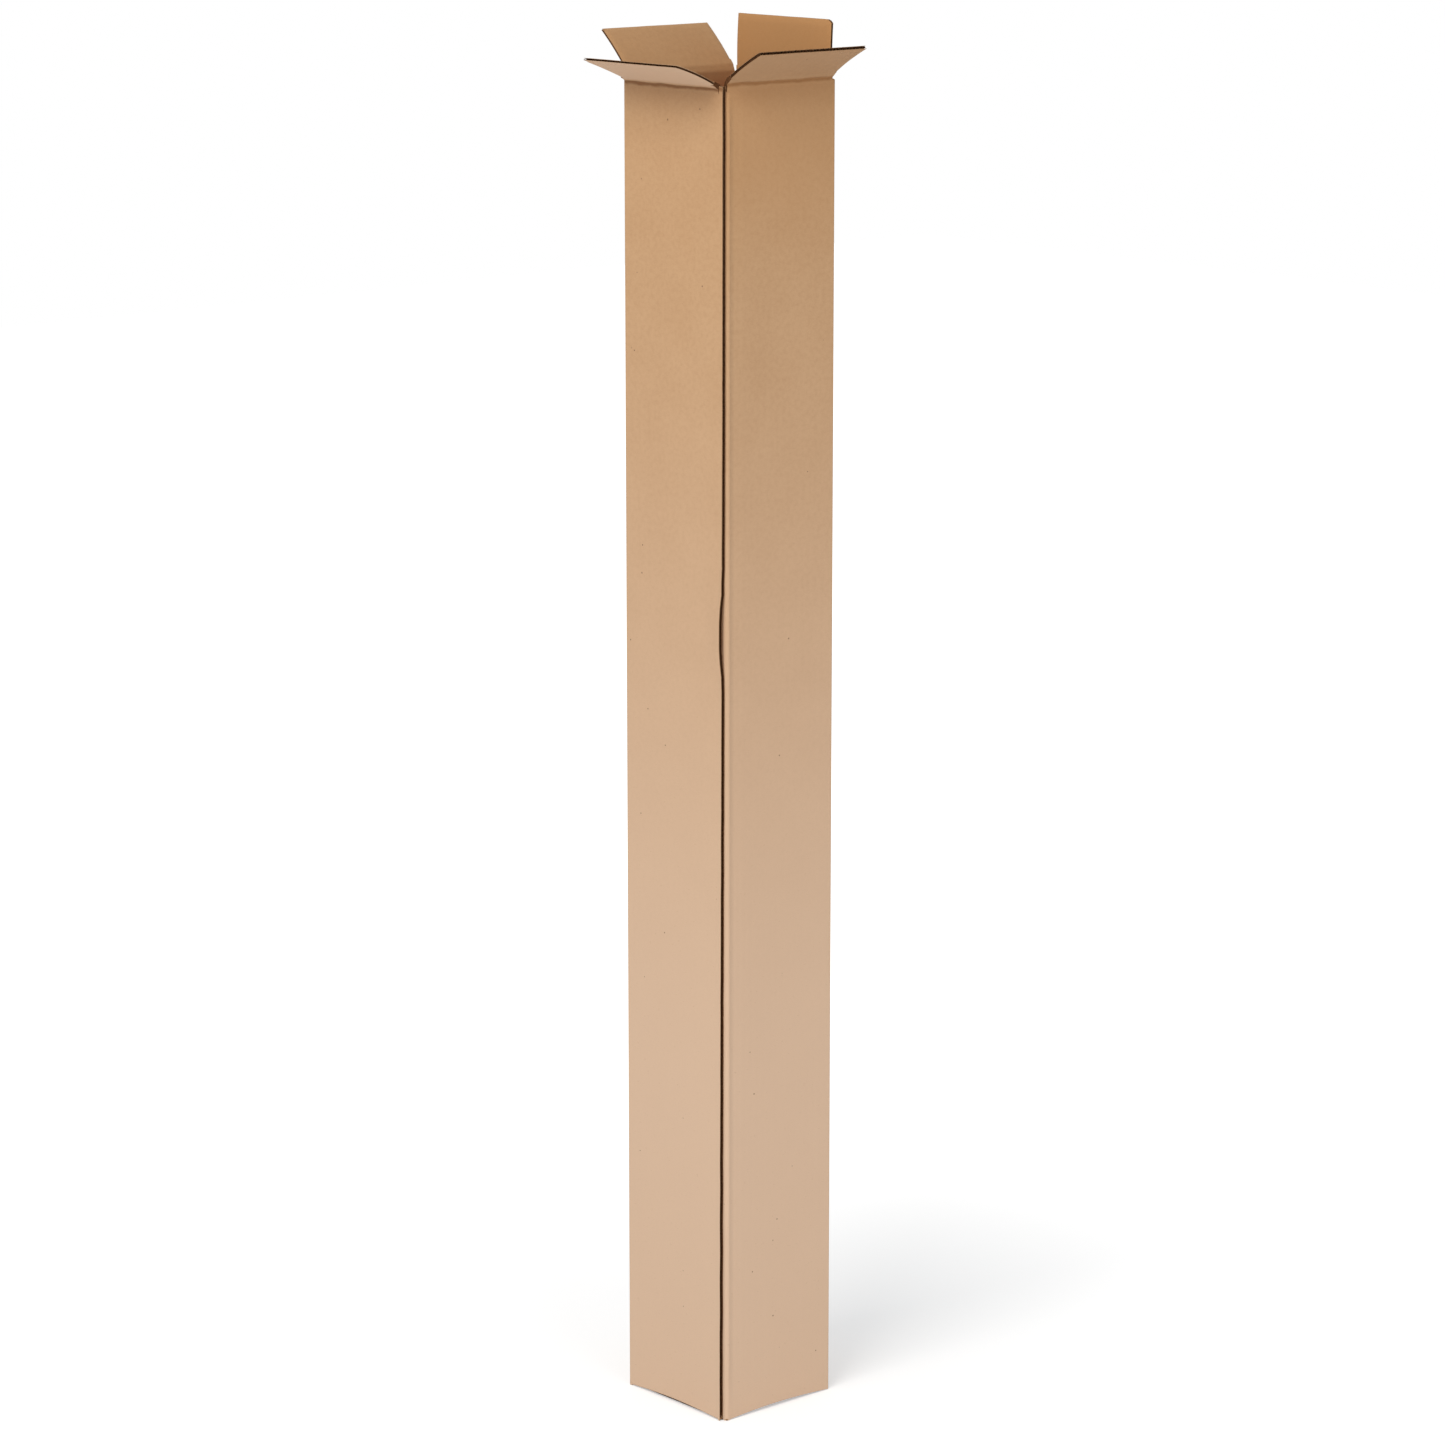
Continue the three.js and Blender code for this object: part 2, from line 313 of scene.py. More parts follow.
# painted shade on the inner face
def innerPaintedShade(shader, colour, place, across, along):
    # painted shade: the inside of the back panel and of its flap is made redder
    back = across.past(*sheetFolds["leftToBack"]) * (1 - across.past(*sheetFolds["backToRight"]))
    colour = shader.blend("MIX", back * paintedLightAndSpecks["backShare"], colour, kraft["insideBack"])
    # painted shade: the inner walls darker and redder from a little above the floor to just below the scores
    down = (1 - along.ramp(*shifted(paintedLightAndSpecks["deepTo"], innerAxis))) * along.ramp(*paintedLightAndSpecks["deepFrom"])
    return shader.blend("MIX", down * paintedLightAndSpecks["deepShare"], colour, kraft["insideDeep"])


def kraftLiner(name, pale, deep, addPaintedLight):
    shader = Shader(bpy.data.materials.new(name))
    place = shader.add("ShaderNodeUVMap", {"uv_map": "sheet"})  # metres across and along the flutes
    across = shader.add("ShaderNodeSeparateXYZ", {}, [place], output=0)
    along = shader.add("ShaderNodeSeparateXYZ", {}, [place], output=1)
    cloud = shader.noise(place, *patterns["cloud"])
    pulp = shader.noise(place, *patterns["pulp"])
    stretched = shader.vector("MULTIPLY", [place, linerLook["threadStretch"]])
    threads = shader.noise(stretched, *patterns["threads"])
    grain = shader.noise(place, *patterns["grain"])
    mottle = cloud * linerLook["cloudShare"] + pulp * linerLook["pulpShare"]
    mottle = mottle + threads * linerLook["threadShare"]
    shade = (mottle + linerLook["shadeLift"]).ramp(*linerLook["shadeRange"])
    colour = addPaintedLight(shader, shader.blend("MIX", shade, deep, pale), place, across, along)
    # here the fibre colour lays only streaks of fibre
    fibre = (threads * pulp).ramp(*linerLook["fibreRange"]) * linerLook["fibreShare"]
    colour = shader.blend("MIX", fibre, colour, kraft["fibre"])
    cells = {"Vector": place, "Scale": linerLook["fleckScale"]}
    flecks = shader.add("ShaderNodeTexVoronoi", {"feature": "F1"}, cells)
    rare = shader.noise(place, *patterns["patches"]).ramp(*linerLook["patchRange"])
    share = (1 - flecks.ramp(*linerLook["fleckRange"])) * rare * linerLook["fleckShare"]
    colour = shader.blend("MIX", share, colour, kraft["speck"])
    grainTint = shader.blend("MIX", grain, linerLook["grainDark"], linerLook["grainPale"])
    colour = shader.blend("MULTIPLY", linerLook["grainShare"], colour, grainTint)
    ridge = (across * (2 * math.pi / board["pitch"])).math("SINE")
    paper = pulp * linerLook["pulpHeight"] + grain * linerLook["grainHeight"]
    relief = ridge * linerLook["ridgeHeight"] + paper
    bump = shader.add("ShaderNodeBump", {}, {
        "Strength": linerLook["bump"], "Distance": linerLook["bumpDistance"], "Height": relief,
    })
    surface = shader.add("ShaderNodeBsdfPrincipled", {}, {
        "Base Color": colour,
        "Roughness": linerLook["roughness"] + (pulp - 0.5) * linerLook["roughnessSpread"],
        "Normal": bump,
        "Specular IOR Level": linerLook["specular"],
        "Sheen Weight": linerLook["sheen"],
    })
    return shader.finish("ShaderNodeOutputMaterial", surface)


roughLook = {
    "detail": 4,
    "roughness": 0.7,
    "range": (0.3, 0.7),
    "bump": 0.35,
    "bumpDistance": 0.3 * mm,
    "surface": 0.9,
    "surfaceSpread": 0.1,
    "specular": 0.03,
    "mediumScale": 900,
    "cutScale": 1400,
}


def roughPaper(name, pale, deep, scale):  # cut edges and the inside of the flutes
    shader = Shader(bpy.data.materials.new(name))
    place = shader.add("ShaderNodeTexCoord", {}, output="Object")
    mottle = shader.noise(place, scale, roughLook["detail"], roughLook["roughness"])
    bump = shader.add("ShaderNodeBump", {}, {
        "Strength": roughLook["bump"], "Distance": roughLook["bumpDistance"], "Height": mottle,
    })
    surface = shader.add("ShaderNodeBsdfPrincipled", {}, {
        "Base Color": shader.blend("MIX", mottle.ramp(*roughLook["range"]), deep, pale),
        "Roughness": roughLook["surface"] + (mottle - 0.5) * roughLook["surfaceSpread"],
        "Normal": bump,
        "Specular IOR Level": roughLook["specular"],
    })
    return shader.finish("ShaderNodeOutputMaterial", surface)


papers = (
    kraftLiner("kraftOutside", kraft["pale"], kraft["deep"], outerPaintedLightAndSpecks),
    kraftLiner("kraftInside", kraft["insidePale"], kraft["inside"], innerPaintedShade),
    # painted shade: the flute medium is near black for the shade in the board's hollows; the cut edges
    # mottle towards the same colour, partly their own darker cut paper and partly painted shade
    roughPaper("fluteMedium", kraft["mediumPale"], kraft["mediumDark"], roughLook["mediumScale"]),
    roughPaper("cutEdge", kraft["cut"], kraft["mediumPale"], roughLook["cutScale"]),
)
outside, inside, medium, cut = range(len(papers))
print("materials made")


# Mesh building

mergeDistance = 0.003 * mm


class Sheet:  # collects grids of points, each with its place in the world and on the flat sheet
    def __init__(self):
        self.points = []
        self.places = []
        self.faces = []
        self.slots = []

    def keep(self, corners):
        first = len(self.points)
        for point, place in corners:
            self.points.append(point)
            self.places.append(place)
        return first

    def grid(self, rows, slot, flip=False):
        width = len(rows[0])
        first = self.keep([corner for row in rows for corner in row])
        for r in range(len(rows) - 1):
            for c in range(width - 1):
                a = first + r * width + c
                face = (a, a + 1, a + width + 1, a + width)
                self.faces.append(face[::-1] if flip else face)
                self.slots.append(slot)

    def face(self, corners, slot):  # one face with many corners
        first = self.keep(corners)
        self.faces.append(tuple(range(first, first + len(corners))))
        self.slots.append(slot)

    def make(self, name, body=None, sharp=38):
        mesh = bpy.data.meshes.new(name)
        mesh.from_pydata([tuple(point) for point in self.points], [], self.faces)
        layer = mesh.uv_layers.new(name="sheet")
        for loop in mesh.loops:
            layer.data[loop.index].uv = self.places[loop.vertex_index]
        for material in papers:
            mesh.materials.append(material)
        mesh.polygons.foreach_set("material_index", self.slots)
        shape = bmesh.new()
        shape.from_mesh(mesh)
        bmesh.ops.remove_doubles(shape, verts=shape.verts, dist=mergeDistance)
        bmesh.ops.recalc_face_normals(shape, faces=shape.faces)
        shape.to_mesh(mesh)
        shape.free()
        mesh.shade_smooth()
        mesh.set_sharp_from_angle(angle=math.radians(sharp))
        piece = bpy.data.objects.new(name, mesh)
        bpy.context.collection.objects.link(piece)
        if body:
            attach(piece, body)
        return piece


# The tube

tube = {
    "panelSteps": 22,
    "arcSteps": 6,
    "levels": 150,
    "crowding": 0.09,  # draws the levels together at both ends
    "slotStep": 0.05 * mm,  # half the width of the step down into a slot
    "besideSlot": 2 * mm,
    "evenFrom": 4 * mm,
    "slotFloor": 1.2 * mm,
    "slotRise": 0.8 * mm,
    "creaseReach": 7 * mm,  # how far a soft crease runs down the panel and out on the flap
    "tabWidth": 36 * mm,
    "tabTaper": 14 * mm,
    "tabShares": (0, 0.1, 0.3, 0.5, 0.7, 0.9, 1),
    "tabFoot": 0.3 * mm,
    "tabBottom": 2.4,  # in thicknesses of the board
    "tabTop": 1.4,
    "tabRoom": 0.2 * mm,
    "glueGap": 0.3 * mm,
    "postStations": 2,  # the hollow of the cut edge ends before this station
    "hollow": 3.5 * mm,
    "hollowFoot": 0.48,  # the share of the hollow that is left at the floor
    "hollowReach": 12 * mm,
    "bow": 0.7 * mm,
    "bowAcross": 0.3,
    "bowSize": 0.22,
    "bowFoot": 0.06,
    "bowTop": (0.03, 0.01),  # the walls straighten out between these distances from the top
    "foldDent": 0.55 * mm,  # the right panel is pressed in a little beside the glued corner
    "foldDentPlace": 12 * mm,
    "foldDentWidth": 5 * mm,
    "archFront": 3.2 * mm,
    "archSide": 3.1 * mm,
    "archPower": 0.85,
}
gluedCorner = {
    "setbackTop": 0.4 * mm,  # the front panel's cut edge, in from the right panel's face
    "setbackBottom": 4.6 * mm,
    "leanRange": (-0.15, 1.05),
    "wander": 0.35 * mm,
    "wanderSize": 0.03,
    "gapeFrom": 0.573,  # the corner stands open between these shares of the height
    "gapeTo": 0.632,
    "gapeFull": 0.35,
    "gapeNone": 1.25,
    "gape": 1.5 * mm,
    "gapeOut": 1.9 * mm,
    "gapeReach": 24 * mm,
    "kinkPlace": 0.642,
    "kinkHeight": 0.006,
    "kink": 0.9 * mm,
    "shiftTop": 5 * mm,  # how far the slant of the cut edge draws the panel along
    "shiftMore": 21 * mm,
    "shiftRange": (0.06, 0.012),
    "edgeLinerTop": 2.4,  # how much wider the liner shows on the pressed cut edge, at the top
    "edgeLinerFrom": 0.1,
}

height = outerAxis
topOf = {"front": innerAxis, "back": innerAxis, "left": outerAxis, "right": outerAxis}
seeds = {"front": 1, "right": 2, "back": 3, "left": 4, "edge": 3}
cornerTop = innerAxis + tube["slotFloor"]


def gaping(z):  # how far open the glued corner stands at a height, 0 to 1
    middle = (gluedCorner["gapeFrom"] + gluedCorner["gapeTo"]) / 2
    half = (gluedCorner["gapeTo"] - gluedCorner["gapeFrom"]) / 2
    away = abs(z / height - middle)
    return 1 - smooth(away, half * gluedCorner["gapeFull"], half * gluedCorner["gapeNone"])


def setback(z):
    share = z / height
    top, foot = gluedCorner["setbackTop"], gluedCorner["setbackBottom"]
    lean = foot + (top - foot) * smooth(share, *gluedCorner["leanRange"])
    fromKink = (share - gluedCorner["kinkPlace"]) / gluedCorner["kinkHeight"]
    kink = gluedCorner["kink"] * math.exp(-fromKink ** 2)
    wander = gluedCorner["wander"] * drift(seeds["edge"], 0, z, gluedCorner["wanderSize"])
    return lean + gaping(z) * gluedCorner["gape"] + kink + wander


def arch(side, share):  # how far a bottom edge stands off the floor, share runs from corner to corner
    rise = tube["archFront"] if side in ("front", "back") else tube["archSide"]
    return rise * math.sin(math.pi * min(1, max(0, share))) ** tube["archPower"]


def station(x, y, nx, ny, side, across, sheetX, inner=None):
    return {"x": x, "y": y, "nx": nx, "ny": ny, "side": side, "across": across, "u": sheetX, "inner": inner}


def panelStations(side, start, end, direction, normal, sheetX):
    # dense beside the slots, even between them
    length = (Vector(end) - Vector(start)).length
    fold = board["foldRadius"]
    edge = board["slotInset"] - fold
    stops = {0, length}
    for offset in (edge / 2, edge - tube["slotStep"], edge + tube["slotStep"], edge + tube["besideSlot"]):
        stops.add(offset)
        stops.add(length - offset)
    first = edge + tube["evenFrom"]
    gaps = tube["panelSteps"] - 2
    for step in range(gaps + 1):
        stops.add(first + (length - 2 * first) * step / gaps)
    made = []
    for offset in sorted(stops):
        x = start[0] + direction[0] * offset
        y = start[1] + direction[1] * offset
        across = (offset + fold) / (length + 2 * fold)
        made.append(station(x, y, *normal, side, across, sheetX + offset))
    return made


def arcStations(middle, radius, fromDeg, toDeg, fillet, sheetX):
    made = []
    for step in range(1, tube["arcSteps"]):
        share = step / tube["arcSteps"]
        angle = math.radians(fromDeg + (toDeg - fromDeg) * share)
        cosine, sine = math.cos(angle), math.sin(angle)
        x, y = middle[0] + radius * cosine, middle[1] + radius * sine
        inner = (fillet[0] + fillet[2] * cosine, fillet[1] + fillet[2] * sine)
        sheetPlace = sheetX + radius * math.pi / 2 * share
        made.append(station(x, y, -cosine, -sine, "corner", 0 if share < 0.5 else 1, sheetPlace, inner))
    return made


def tubeStations():  # once round the tube, from the front panel's cut edge to the end of the tab
    w, d, r = halfWidth, halfDepth, board["foldRadius"]
    t, f = board["thickness"], board["innerFillet"]
    arc = r * math.pi / 2
    made = panelStations("front", (w - r, -d), (-w + r, -d), (-1, 0), (0, 1), 0)
    u = made[-1]["u"]
    made += arcStations((-w + r, -d + r), r, -90, -180, (-w + t + f, -d + t + f, f), u)
    made += panelStations("left", (-w, -d + r), (-w, d - r), (0, 1), (1, 0), u + arc)
    u = made[-1]["u"]
    made += arcStations((-w + r, d - r), r, 180, 90, (-w + t + f, d - t - f, f), u)
    made += panelStations("back", (-w + r, d), (w - r, d), (1, 0), (0, -1), u + arc)
    u = made[-1]["u"]
    made += arcStations((w - r, d - r), r, 90, 0, (w - t - f, d - t - f, f), u)
    foldY = -d + 2 * t + tube["glueGap"]
    right = panelStations("right", (w, d - r), (w, -d + r), (0, -1), (-1, 0), u + arc)
    made += [s for s in right if s["y"] > foldY + tube["tabRoom"]]
    u = made[-1]["u"]
    made.append(station(w, foldY, -1, 0, "corner", 1, u))
    made += arcStations((w - t, foldY), t, 0, -90, (w - t, foldY, 0), u)
    for share in tube["tabShares"]:
        along = tube["tabWidth"] * share
        made.append(station(w - t - along, foldY - t, 0, 1, "tab", share, u + along))
    return made


def spanLimits(s):  # lowest and highest z of the outer and of the inner face at a station
    inset = board["slotInset"] / (2 * halfWidth)
    share = s["across"]
    side = s["side"]
    low = arch(side, share) if side in topOf else 0
    t = board["thickness"]
    if side == "tab":
        taper = tube["tabTaper"] * share
        foot = tube["tabFoot"] if share == 0 else tube["tabBottom"] * t + taper
        return (foot, innerAxis - tube["tabTop"] * t - taper) * 2
    if side == "corner" or share < inset or share > 1 - inset:
        edge = min(share, 1 - share) / inset if side in topOf else 0
        return (low, cornerTop + tube["slotRise"] * edge) * 2
    top = topOf[side] - tube["creaseReach"]
    if side in ("front", "back"):
        return (low + board["bottomRadius"], top) * 2
    return low, top, low + t, top


def faceDrift(s, z):  # slow unevenness of the walls, inward only
    if s["side"] not in topOf:
        return 0
    ends = math.sin(math.pi * min(1, max(0, s["across"])))
    wave = 0.5 + 0.5 * drift(seeds[s["side"]], s["across"] * tube["bowAcross"], z, tube["bowSize"])
    inset = tube["bow"] * ends * wave
    if s["side"] == "right":
        fromDent = (s["y"] + halfDepth - tube["foldDentPlace"]) / tube["foldDentWidth"]
        inset += tube["foldDent"] * math.exp(-fromDent ** 2)
    begin, end = tube["bowTop"]
    return inset * smooth(z, 0, tube["bowFoot"]) * (1 - smooth(z, height - begin, height - end))


def wallPoint(s, z, depth):  # depth 0 is the outer face, 1 the inner one
    x, y = s["x"], s["y"]
    if depth > 0 and s["inner"]:
        x = x + (s["inner"][0] - x) * depth
        y = y + (s["inner"][1] - y) * depth
        return Vector((centre.x + x, centre.y + y, z))
    reach = faceDrift(s, z) + board["thickness"] * depth
    return Vector((centre.x + x + s["nx"] * reach, centre.y + y + s["ny"] * reach, z))


def levelShares():
    shares = [k / tube["levels"] for k in range(tube["levels"] + 1)]
    return [share - tube["crowding"] * math.sin(2 * math.pi * share) for share in shares]


def rawEdgeShift(s, z):  # the front panel's end follows the slanting, gaping cut
    if s["side"] != "front":
        return 0
    begin, end = gluedCorner["shiftRange"]
    below = 1 - smooth(z, height - begin, height - end)
    wide = gluedCorner["shiftTop"] + gluedCorner["shiftMore"] * below
    reach = smooth(s["x"], halfWidth - wide, halfWidth - board["foldRadius"])
    return (board["foldRadius"] - setback(z)) * reach


def tubeGrid(stations, depth):
    rows = []
    for share in levelShares():
        row = []
        for s in stations:
            limits = spanLimits(s)
            low, high = limits[:2] if depth < 0.5 else limits[2:]
            z = low + (high - low) * share
            point = wallPoint(s, z, depth)
            point.x += rawEdgeShift(s, z)
            if s["side"] == "front":
                reach = halfWidth - gluedCorner["gapeReach"]
                lifted = smooth(s["x"], reach, halfWidth - board["foldRadius"])
                point.y -= gluedCorner["gapeOut"] * gaping(z) * lifted
            row.append((point, (s["u"], z)))
        rows.append(row)
    return rows


def hollowColumns(outer, inner, end, direction):  # upright lines round the hollow of a cut edge
    liner = board["liner"] / board["thickness"]
    columns = [[], [], [], [], [], []]
    for low, high in zip(outer, inner):
        a, b = low[end][0], high[end][0]
        foot = tube["hollowFoot"] + (1 - tube["hollowFoot"]) * smooth(a.z, 0, tube["hollowReach"])
        inward = Vector((direction * tube["hollow"] * foot, 0, 0))
        widening = (gluedCorner["edgeLinerTop"] - 1) * smooth(a.z, gluedCorner["edgeLinerFrom"], height)
        first = a.lerp(b, liner * (1 + widening))
        second = b.lerp(a, liner)
        for column, point in zip(columns, (a, first, first + inward, second + inward, second, b)):
            column.append((point, low[end][1]))
    return columns


def makeTube():
    stations = tubeStations()
    post = tube["postStations"]
    sheet = Sheet()
    outer = tubeGrid(stations, 0)
    inner = tubeGrid(stations, 1)
    sheet.grid(outer, outside)
    sheet.grid(inner, inside, flip=True)
    for level in (0, -1):
        sheet.grid([outer[level][post:-1], inner[level][post:-1]], cut)
    frontEnd = (0, -1, slice(post, None, -1))
    tabEnd = (-1, 1, slice(-2, None))
    for end, direction, past in (frontEnd, tabEnd):
        columns = hollowColumns(outer, inner, end, direction)
        sheet.grid(columns[:2], cut)
        sheet.grid(columns[4:], cut)
        sheet.grid(columns[1:5], medium)
        for level in (0, -1):
            hollow = [column[level] for column in columns[1:5]]
            sheet.face(outer[level][past] + hollow + inner[level][past][::-1], cut)
    return sheet.make("cartonTube", "carton")


cartonTube = makeTube()
print("tube made")


# Flaps. Each is built on its own hinge: across the panel, in towards the box, up along the flap.

flapSides = {  # the turn from the front panel, and the middle of each panel on the sheet
    "front": {"turn": 0, "reach": halfDepth, "span": halfWidth, "seed": 11, "sheetMiddle": 0.0645},
    "right": {"turn": 90, "reach": halfWidth, "span": halfDepth, "seed": 12, "sheetMiddle": 0.4659},
    "back": {"turn": 180, "reach": halfDepth, "span": halfWidth, "seed": 13, "sheetMiddle": 0.3321},
    "left": {"turn": -90, "reach": halfWidth, "span": halfDepth, "seed": 14, "sheetMiddle": 0.1983},
}
seedShifts = {"bottom": 20, "wave": 3, "wear": 5}


def turned(angle, v, w):  # v inward and w upward, leaned outward by an angle
    cosine, sine = math.cos(angle), math.sin(angle)
    return v * cosine - w * sine, v * sine + w * cosine


class Hinge:
    def __init__(self, side, lean, level, flipped=False):
        facts = flapSides[side]
        turn = math.radians(facts["turn"])
        self.side = side
        self.across = Vector((math.cos(turn), math.sin(turn), 0)) * (-1 if flipped else 1)
        self.inward = Vector((-math.sin(turn), math.cos(turn), 0))
        self.upward = Vector((0, 0, -1 if flipped else 1))
        middle = Vector((centre.x, centre.y, level))
        self.axis = middle - self.inward * (facts["reach"] + hingeOffset)
        self.lean = lean
        self.seed = facts["seed"] + (seedShifts["bottom"] if flipped else 0)
        self.width = 2 * (facts["span"] - board["slotInset"])
        self.uMiddle = facts["sheetMiddle"]
        self.level = level

    def place(self, x, v, w, lean=None):
        v, w = turned(self.lean if lean is None else lean, v, w)
        return self.axis + self.across * x + self.inward * v + self.upward * w

    def sheetPlace(self, x, w):
        along = -self.across.x * x if self.side in ("front", "back") else x
        return self.uMiddle + along, self.level + self.upward.z * w

    def panelShare(self, x):  # from corner to corner of the panel, wider than the flap
        inset = board["slotInset"]
        return (x + self.width / 2 + inset) / (self.width + 2 * inset)

    def sideGap(self, x):
        return self.width / 2 - abs(x)


flapShapes = {  # curl lifts the middle of a flap to its inner side, twist adds to that near the glued corner
    "front": {"length": 54, "curl": 0.5, "twist": 0.7, "droop": 0, "wave": 0.9, "crush": 0.52, "dogEar": 0},
    "back": {"length": 54, "curl": 0.4, "twist": 0.2, "droop": 0, "wave": 0.5, "crush": 0.48, "dogEar": 3},
    "left": {"length": 52, "curl": 0.3, "twist": 0, "droop": 4, "wave": 0.5, "crush": 0.52, "dogEar": 0},
    "right": {"length": 52, "curl": 0.3, "twist": 0, "droop": 4.2, "wave": 0.8, "crush": 0.22, "dogEar": 0},
}  # all in millimetres but crush, the share of the thickness that is lost at the cut edges
flapBend = {
    "crushReach": 3.4 * mm,
    "curlPower": 0.8,
    "droopPower": 1.6,
    "twistFrom": 0.45,
    "ripple": 0.12,
    "rippleSize": 0.03,
    "wear": 0.15 * mm,
    "wearSize": 0.02,
    "earWidth": 0.035,
    "columns": 48,
    "rows": (12, 6),  # of a liner and of the medium
    "waveColumns": 12,  # for each wave of the medium
    "phase": 0.25,
    "mediumShort": 0.4 * mm,
}


def pressed(v, crush, distance):  # squeezes the board together near a cut edge
    middle = hingeOffset + board["thickness"] / 2
    loss = crush * (1 - smooth(distance, 0, flapBend["crushReach"]))
    return middle + (v - middle) * (1 - loss)


def flapPlacer(hinge, shape, length):
    reach = tube["creaseReach"]

    def place(x, v, w):
        share = min(1, max(0, (w - reach) / (length - reach)))
        side = x / hinge.width + 0.5
        arched = math.sin(math.pi * share) ** flapBend["curlPower"]
        lift = (shape["curl"] + shape["twist"] * smooth(side, flapBend["twistFrom"], 1)) * arched
        lift -= shape["droop"] * share ** flapBend["droopPower"]
        lift += flapBend["ripple"] * share * (1 + drift(hinge.seed, x, w, flapBend["rippleSize"]))
        v = pressed(v, shape["crush"], min(length - w, hinge.sideGap(x)))
        return hinge.place(x, v + lift * mm, w)
    return place


def layerGrid(hinge, place, start, length, ear, offset, columns, rows):
    grid = [[] for r in range(rows + 1)]
    for c in range(columns + 1):
        side = c / columns
        x = hinge.width * (side - 0.5)
        uneven = drift(hinge.seed + seedShifts["wear"], x, 0, flapBend["wearSize"])
        wear = flapBend["wear"] * (1 + uneven)
        end = length - wear - ear * (1 - smooth(side, 0, flapBend["earWidth"]))
        for r, row in enumerate(grid):
            w = start + (end - start) * r / rows
            row.append((place(x, offset(x), w), hinge.sheetPlace(x, w)))
    return grid


def makeBoard(name, body, hinge, place, start, length, ear, steps):  # two liners and a waved medium
    sheet = Sheet()
    rows, mediumRows = steps
    near, far = hingeOffset, hingeOffset + board["thickness"]
    liner, paper = board["liner"], board["medium"]
    waves = round(hinge.width / board["pitch"])
    swing = (board["thickness"] - 2 * liner - paper) / 2

    def wave(x):
        turns = x * waves / hinge.width + flapBend["phase"]
        return (near + far) / 2 + swing * math.cos(2 * math.pi * turns)

    shortened = length - flapBend["mediumShort"]
    columns = flapBend["columns"]
    layers = (
        (length, lambda x: near, lambda x: near + liner, columns, rows, outside, cut, cut),
        (length, lambda x: far - liner, lambda x: far, columns, rows, cut, inside, cut),
        (shortened, lambda x: wave(x) - paper / 2, lambda x: wave(x) + paper / 2,
         waves * flapBend["waveColumns"], mediumRows, medium, medium, medium),
    )
    for end, lower, upper, across, along, lowerSlot, upperSlot, edgeSlot in layers:
        below = layerGrid(hinge, place, start, end, ear, lower, across, along)
        above = layerGrid(hinge, place, start, end, ear, upper, across, along)
        sheet.grid(below, lowerSlot)
        sheet.grid(above, upperSlot, flip=True)
        sheet.grid([below[0], above[0]], edgeSlot, flip=True)
        sheet.grid([below[-1], above[-1]], edgeSlot)
        for edge in (0, -1):
            sheet.grid([[row[edge] for row in grid] for grid in (below, above)], edgeSlot)
    return sheet.make(name, body)


crease = {
    "steps": 16,
    "columns": 60,
    "scoreDepth": 0.9 * mm,
    "scoreWidth": 0.13,
    "uprightLean": 0.3,  # below this lean the score is pressed straight in
    "crush": 0.22,
    "corner": 0.41,
    "straight": 1.02,  # where the inner face leaves the panel, in thicknesses
    "waveSize": 0.026,
    "softHalf": 5.2 * mm,  # half of a length across the score, from the middle of the hinge
    "sharp": 50,
}


def creaseProfile(hinge):  # points (inward, upward) of the outer and the inner face across the score
    reach = tube["creaseReach"]
    near, far = hingeOffset, hingeOffset + board["thickness"]
    straight = board["thickness"] * crease["straight"]
    steps = crease["steps"]
    start = Vector((near, -reach))
    end = Vector(turned(hinge.lean, near, reach))
    valley = (start + end).normalized() * crease["scoreDepth"]  # the score is pressed in from outside
    if hinge.lean < crease["uprightLean"]:
        valley = Vector((-crease["scoreDepth"], 0))
    outer = []
    for step in range(steps + 3):  # as many points as the inner face has
        share = step / (steps + 2)
        bezier = start * (1 - share) ** 2 + Vector((near, 0)) * 2 * share * (1 - share) + end * share ** 2
        outer.append(bezier - valley * math.exp(-((share - 0.5) / crease["scoreWidth"]) ** 2))
    inner = [Vector((far, -reach)), Vector((far, -straight))]
    for step in range(1, steps):
        share = step / steps
        crush = crease["crush"] * math.sin(math.pi * share) ** 2
        corner = 1 + crease["corner"] * abs(2 * share - 1) ** 3
        angle = -math.pi / 4 + (hinge.lean + math.pi / 2) * share
        radius = far * corner * (1 - crush)
        inner.append(Vector((math.cos(angle) * radius, math.sin(angle) * radius)))
    inner.append(Vector(turned(hinge.lean, far, straight)))
    inner.append(Vector(turned(hinge.lean, far, reach)))
    return outer, inner


def creaseFace(hinge, profile, wave):
    rows = []
    for index, point in enumerate(profile):
        share = index / (len(profile) - 1)
        along = (2 * share - 1) * tube["creaseReach"]
        row = []
        for c in range(crease["columns"] + 1):
            x = hinge.width * (c / crease["columns"] - 0.5)
            uneven = drift(hinge.seed + seedShifts["wave"], x, 0, crease["waveSize"])
            swell = math.sin(math.pi * share) ** 2 * wave * uneven
            placed = hinge.place(x, point.x, point.y + swell * mm, lean=0)
            row.append((placed, hinge.sheetPlace(x, along)))
        rows.append(row)
    return rows


def makeCrease(name, hinge, wave):  # a strip, curved over the score, between the tube and a flap
    outer, inner = [creaseFace(hinge, profile, wave) for profile in creaseProfile(hinge)]
    sheet = Sheet()
    sheet.grid(outer, outside)
    sheet.grid(inner, inside, flip=True)
    for edge in (0, -1):
        sheet.grid([[row[edge] for row in face] for face in (outer, inner)], medium)
        sheet.grid([outer[edge], inner[edge]], cut)
    piece = sheet.make(name, sharp=crease["sharp"])
    toFlap = Vector(turned(hinge.lean, 0, 1))
    direction = (toFlap - Vector((0, -1))).normalized() * crease["softHalf"]
    middle = hinge.place(0, 0, 0)
    stride = hinge.place(0, direction.x, direction.y, lean=0) - middle
    tuple(middle - stride)
    tuple(middle + stride)
    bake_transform(piece)


